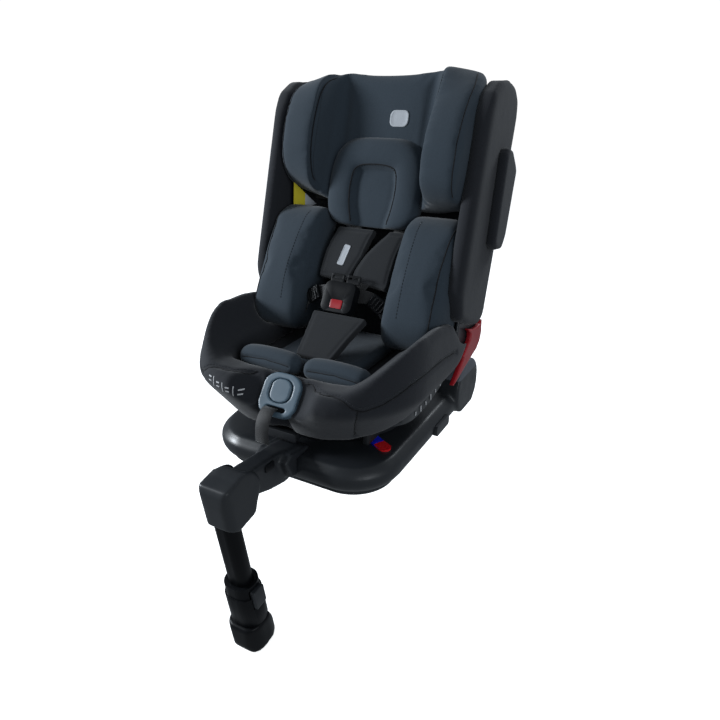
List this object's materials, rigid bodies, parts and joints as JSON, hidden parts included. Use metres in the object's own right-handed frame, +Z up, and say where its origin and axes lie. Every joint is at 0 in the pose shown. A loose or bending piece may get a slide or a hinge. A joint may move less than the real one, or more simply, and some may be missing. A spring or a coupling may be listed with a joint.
{
  "type": "convertible car seat",
  "caption": "Child car seat on a latch-in base: swivelling, reclining padded seat, sliding headrest, five-point harness, folding support leg.",
  "frame": {"origin": "underside of the base, on its centre line, 180 mm behind the front of its lobes", "axes": "+Z up, -Y the way the child faces, +X the child's left hand"},
  "size_m": [0.4812, 0.7189, 0.9339],
  "materials": {
    "black_plastic": "satin, fine grain",
    "charcoal_plastic": "satin",
    "tube_paint": "satin black powder coat",
    "grey_plastic": "satin blue-grey",
    "red_plastic": "gloss",
    "steel": "zinc plated",
    "black_fabric": "close knit",
    "charcoal_fabric": "close knit",
    "slate_fabric": "heathered knit",
    "webbing": "woven webbing",
    "badge": "gloss",
    "indicator": "gloss",
    "scale_print": "printed"
  },
  "bodies": {
    "base": {"base_tray": "black_plastic", "base_cover": "black_plastic", "latch_rails": "steel", "swivel_ring": "steel", "leg_arm": "black_plastic", "leg_pin": "steel", "leg_indicator": "indicator", "direction_badge": "badge"},
    "latch_left": {"latch_arm_left": "steel", "latch_head_left": "black_plastic"},
    "latch_right": {"latch_arm_right": "steel", "latch_head_right": "black_plastic"},
    "hook_left": {"latch_hook_left": "steel"},
    "hook_right": {"latch_hook_right": "steel"},
    "release_left": {"latch_release_left": "red_plastic"},
    "release_right": {"latch_release_right": "red_plastic"},
    "grip_left": {"slide_grip_left": "black_plastic"},
    "grip_right": {"slide_grip_right": "black_plastic"},
    "table": {"turntable": "black_plastic", "recline_cradle": "charcoal_plastic"},
    "lever": {"recline_lever": "charcoal_plastic"},
    "swivel_catch": {"swivel_button": "red_plastic"},
    "seat": {"pan_shell": "black_plastic", "back_shell": "black_plastic", "recline_scale": "scale_print", "seat_cushion": "black_fabric", "seat_bolster": "black_fabric", "wing_left": "black_fabric", "wing_right": "black_fabric", "back_pad": "charcoal_fabric", "insert_left": "slate_fabric", "insert_right": "slate_fabric", "insert_seat": "slate_fabric", "belt_guide_left": "red_plastic", "belt_guide_right": "red_plastic", "adjuster_plate": "grey_plastic", "adjuster_strap": "webbing", "crotch_pad": "charcoal_fabric", "buckle": "black_plastic", "buckle_tongues": "steel", "harness_webbing": "webbing", "shoulder_pad_left": "charcoal_fabric", "shoulder_pad_right": "charcoal_fabric", "headrest_rails": "steel", "protector_pins": "steel"},
    "adjuster": {"adjuster_button": "grey_plastic"},
    "buckle_release": {"buckle_button": "red_plastic"},
    "headrest": {"headrest_shell": "charcoal_plastic", "headrest_pad": "slate_fabric", "neck_pillow": "slate_fabric"},
    "headrest_catch": {"headrest_lever": "charcoal_plastic"},
    "protector_left": {"side_protector_left": "black_fabric"},
    "protector_right": {"side_protector_right": "black_fabric"},
    "leg": {"leg_housing": "black_plastic", "leg_tube": "tube_paint", "leg_collar": "black_plastic"},
    "leg_catch": {"leg_button": "black_plastic"},
    "leg_slide": {"leg_inner_tube": "steel", "leg_foot": "black_plastic"}
  },
  "joints": [
    {"name": "latch_slide_left", "type": "slide", "parent": "base", "child": "latch_left", "axis": [0, 1, 0], "range_m": [0, 0.09]},
    {"name": "release_slide_left", "type": "slide", "parent": "latch_left", "child": "release_left", "axis": [0, 1, 0], "range_m": [0, 0.008], "stiffness_N_per_m": 400},
    {"name": "hook_open_left", "type": "hinge", "parent": "latch_left", "child": "hook_left", "pos_m": [0.14, 0.334, 0.0275], "axis": [-1, 0, 0], "range_deg": [0, 40]},
    {"name": "grip_press_left", "type": "slide", "parent": "base", "child": "grip_left", "axis": [-1, 0, 0], "range_m": [0, 0.004], "stiffness_N_per_m": 600},
    {"name": "protector_fold_left", "type": "hinge", "parent": "seat", "child": "protector_left", "pos_m": [0.2266, 0.26484, 0.43663], "axis": [0, 0.309, 0.9511], "range_deg": [0, 60]},
    {"name": "latch_slide_right", "type": "slide", "parent": "base", "child": "latch_right", "axis": [0, 1, 0], "range_m": [0, 0.09]},
    {"name": "release_slide_right", "type": "slide", "parent": "latch_right", "child": "release_right", "axis": [0, 1, 0], "range_m": [0, 0.008], "stiffness_N_per_m": 400},
    {"name": "hook_open_right", "type": "hinge", "parent": "latch_right", "child": "hook_right", "pos_m": [-0.14, 0.334, 0.0275], "axis": [-1, 0, 0], "range_deg": [0, 40]},
    {"name": "grip_press_right", "type": "slide", "parent": "base", "child": "grip_right", "axis": [1, 0, 0], "range_m": [0, 0.004], "stiffness_N_per_m": 600},
    {"name": "protector_fold_right", "type": "hinge", "parent": "seat", "child": "protector_right", "pos_m": [-0.2266, 0.26484, 0.43663], "axis": [0, -0.309, -0.9511], "range_deg": [0, 60]},
    {"name": "seat_swivel", "type": "hinge", "parent": "base", "child": "table", "pos_m": [0, 0.03, 0], "axis": [0, 0, 1], "continuous": true},
    {"name": "seat_recline", "type": "hinge", "parent": "table", "child": "seat", "pos_m": [0, 0, 0.43], "axis": [-1, 0, 0], "range_deg": [0, 15]},
    {"name": "lever_pull", "type": "slide", "parent": "table", "child": "lever", "axis": [0, -1, 0], "range_m": [0, 0.01], "stiffness_N_per_m": 400},
    {"name": "swivel_press", "type": "slide", "parent": "table", "child": "swivel_catch", "axis": [0, 1, 0], "range_m": [0, 0.006], "stiffness_N_per_m": 400},
    {"name": "adjuster_press", "type": "slide", "parent": "seat", "child": "adjuster", "axis": [0, 0.788, -0.6157], "range_m": [0, 0.004], "stiffness_N_per_m": 600},
    {"name": "buckle_press", "type": "slide", "parent": "seat", "child": "buckle_release", "axis": [0, 0.848, -0.5299], "range_m": [0, 0.003], "stiffness_N_per_m": 600},
    {"name": "headrest_height", "type": "slide", "parent": "seat", "child": "headrest", "axis": [0, 0.309, 0.9511], "range_m": [0, 0.14]},
    {"name": "headrest_catch_pull", "type": "slide", "parent": "headrest", "child": "headrest_catch", "axis": [0, 0.309, 0.9511], "range_m": [0, 0.006], "stiffness_N_per_m": 400},
    {"name": "leg_fold", "type": "hinge", "parent": "base", "child": "leg", "pos_m": [0, -0.312, 0.066], "axis": [1, 0, 0], "range_deg": [-8, 50]},
    {"name": "leg_height", "type": "slide", "parent": "leg", "child": "leg_slide", "axis": [0, 0.1392, -0.9903], "range_m": [0, 0.14]},
    {"name": "leg_catch_press", "type": "slide", "parent": "leg", "child": "leg_catch", "axis": [-1, 0, 0], "range_m": [0, 0.004], "stiffness_N_per_m": 600}
  ],
  "couplings": [
    {"joint": "hook_open_left", "follows": "release_slide_left", "rad_per_m": 87},
    {"joint": "hook_open_right", "follows": "release_slide_right", "rad_per_m": 87}
  ]
}
